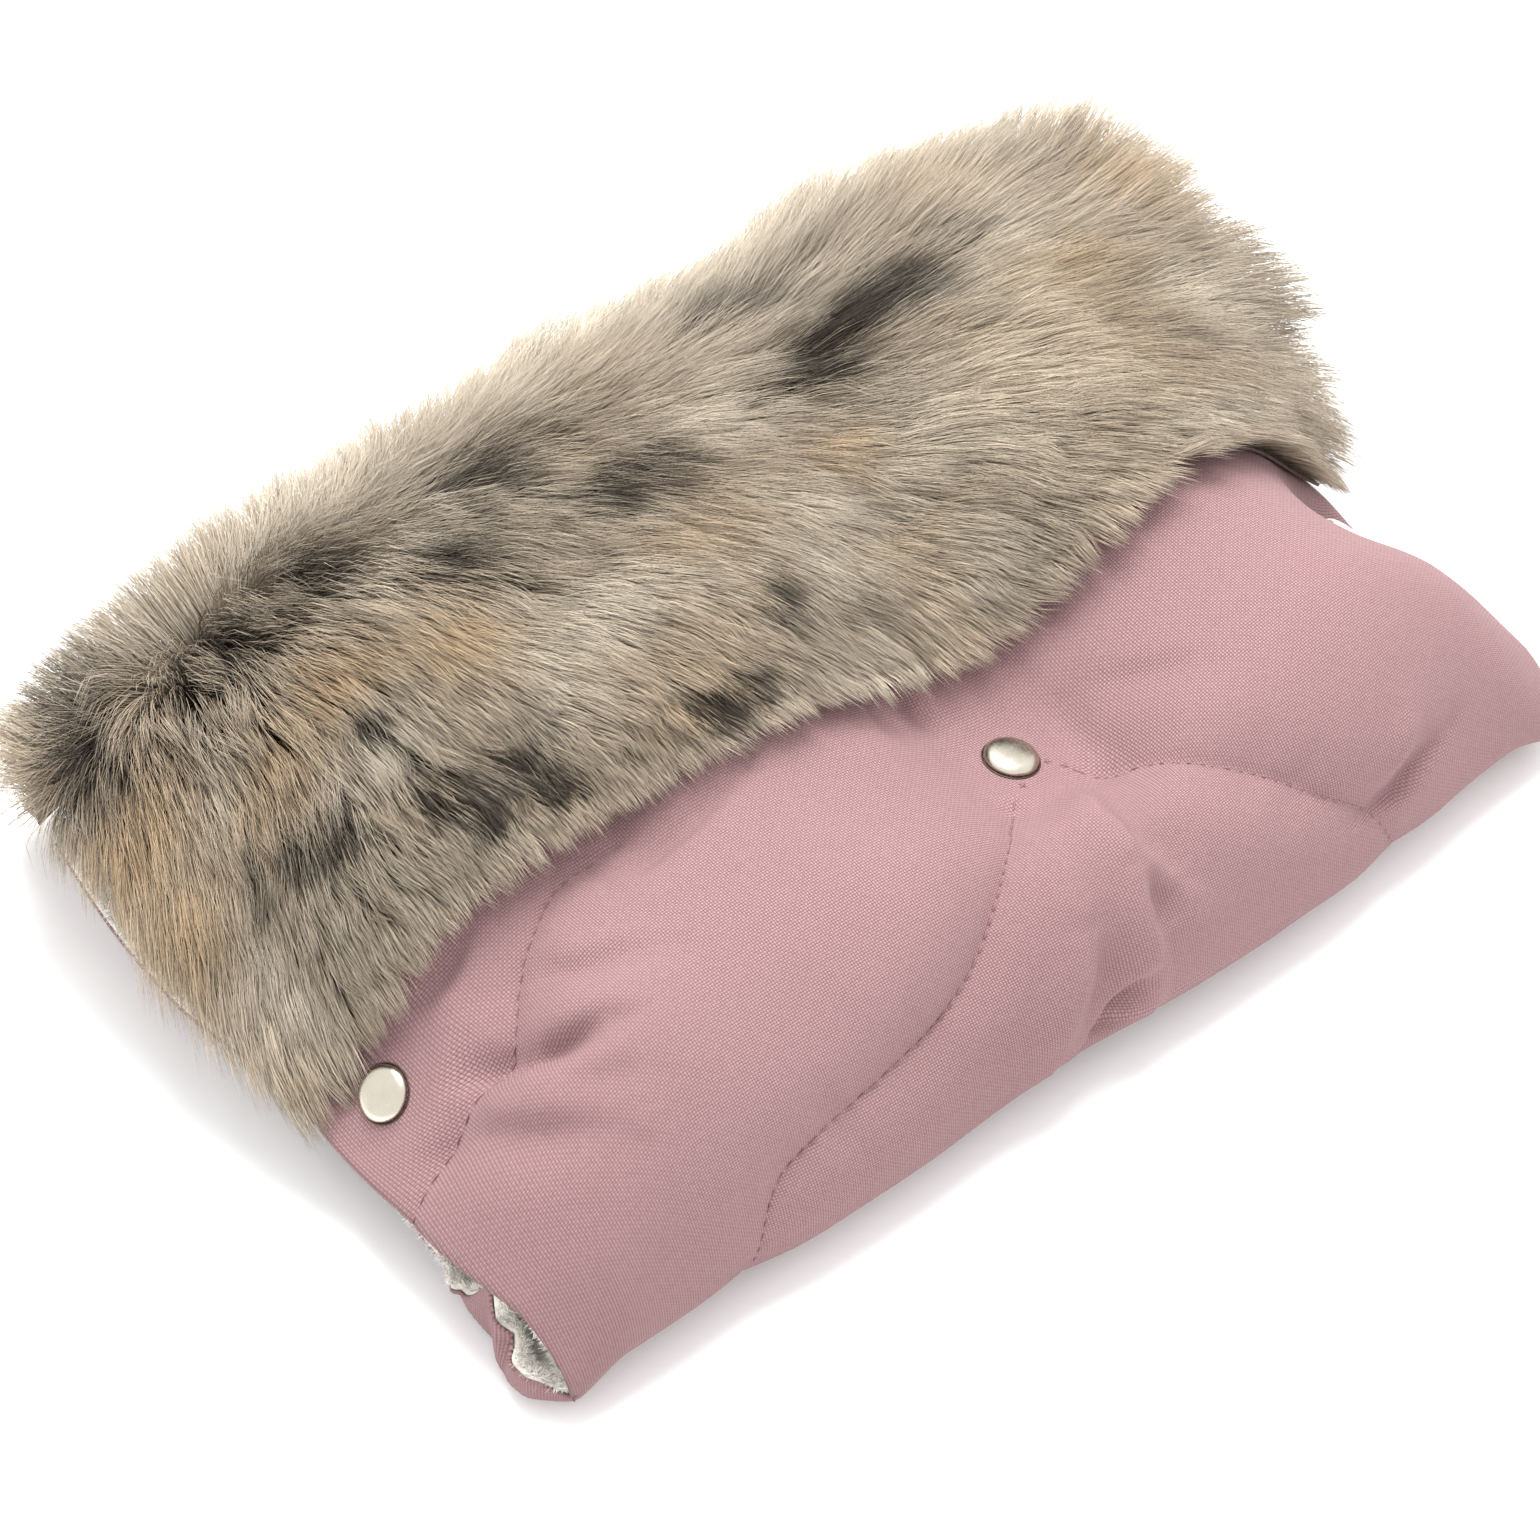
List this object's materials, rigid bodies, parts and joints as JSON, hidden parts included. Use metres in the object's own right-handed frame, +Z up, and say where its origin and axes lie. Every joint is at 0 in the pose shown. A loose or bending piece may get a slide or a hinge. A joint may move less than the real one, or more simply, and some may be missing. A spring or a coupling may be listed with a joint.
{
  "type": "hand warmer muff",
  "caption": "Quilted, fleece-lined hand muff with a fur collar, folded along its front edge and closed round a handlebar by press studs, with a hand opening at each end.",
  "frame": {"origin": "centre of the bounding box in plan, on the surface the muff lies on", "axes": "+X along the muff towards its right mouth, -Y towards the front fold, +Z up"},
  "size_m": [0.3813, 0.2603, 0.1025],
  "materials": {
    "rose_canvas": "matt plain weave",
    "polyester_wadding": "matt",
    "cream_fleece": "napped",
    "fur_backing_cloth": "knitted",
    "fur_fibre": "long pile",
    "champagne_nickel": "satin"
  },
  "bodies": {
    "lower_panel": {"lower_shell": "rose_canvas", "lower_wadding": "polyester_wadding", "lower_lining": "cream_fleece", "snap_stud_left": "champagne_nickel", "snap_stud_middle": "champagne_nickel", "snap_stud_right": "champagne_nickel", "snap_post_left": "champagne_nickel", "snap_post_middle": "champagne_nickel", "snap_post_right": "champagne_nickel"},
    "upper_panel": {"upper_shell": "rose_canvas", "upper_wadding": "polyester_wadding", "upper_lining": "cream_fleece", "fur_backing": "fur_backing_cloth", "fur_pile": "fur_fibre", "snap_cap_left": "champagne_nickel", "snap_cap_middle": "champagne_nickel", "snap_cap_right": "champagne_nickel", "snap_socket_left": "champagne_nickel", "snap_socket_middle": "champagne_nickel", "snap_socket_right": "champagne_nickel"}
  },
  "joints": [
    {"name": "front_fold", "type": "hinge", "parent": "lower_panel", "child": "upper_panel", "pos_m": [0, -0.1302, 0.02], "axis": [1, 0, 0], "range_deg": [0, 150]}
  ]
}
